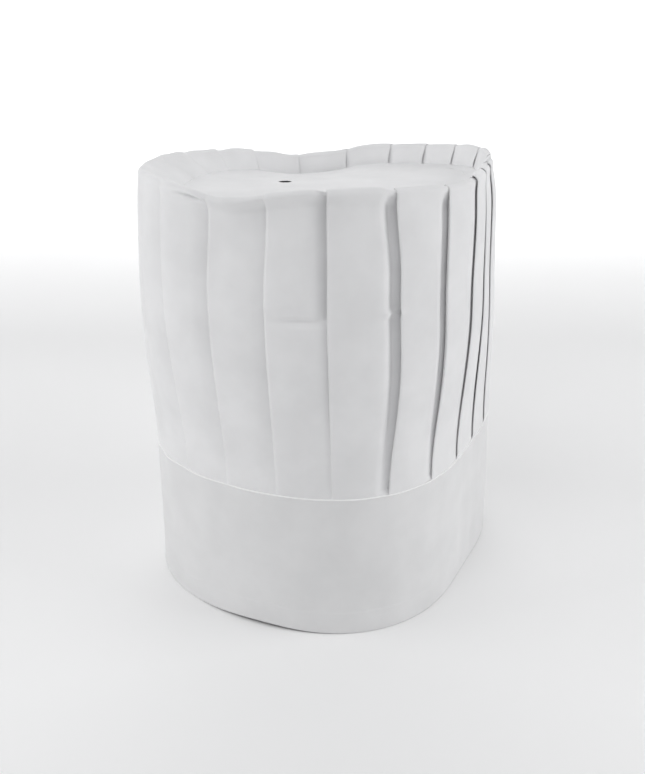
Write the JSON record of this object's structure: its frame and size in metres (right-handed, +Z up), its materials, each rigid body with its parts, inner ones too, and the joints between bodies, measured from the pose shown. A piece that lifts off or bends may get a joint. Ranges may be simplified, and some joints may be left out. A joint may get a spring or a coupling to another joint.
{
  "type": "chef toque",
  "caption": "Tall white pleated paper chef's hat with a plain headband, a recessed flat top with a vent hole and a peel-open size tab at the back.",
  "frame": {"origin": "centre of the toque's outline, on the plane of the headband's bottom edge", "axes": "+Z up through the crown, -Y the wearer's front, +Y the back with the size tab, +X the wearer's left"},
  "size_m": [0.1846, 0.2134, 0.23],
  "materials": {
    "band_paper": "matte",
    "crown_paper": "matte",
    "lining_paper": "matte",
    "absorbent_tissue": "matte",
    "glue": "satin",
    "loop_fabric": "matte",
    "hook_plastic": "matte"
  },
  "bodies": {
    "hat": {"headband_outer": "band_paper", "headband_lining": "lining_paper", "sweatband": "absorbent_tissue", "crown_wall": "crown_paper", "crown_top": "crown_paper", "crown_seam_tape": "lining_paper", "crown_glue_line": "glue", "lining_glue_line": "glue", "sweatband_glue_line": "glue", "top_glue_ring": "glue", "loop_patch": "loop_fabric"},
    "size_tab": {"size_tab": "band_paper", "hook_patch": "hook_plastic"}
  },
  "joints": [
    {"name": "tab_hinge", "type": "hinge", "parent": "hat", "child": "size_tab", "pos_m": [0.03336, 0.09944, 0.0395], "axis": [0, 0, -1], "range_deg": [0, 110]}
  ]
}
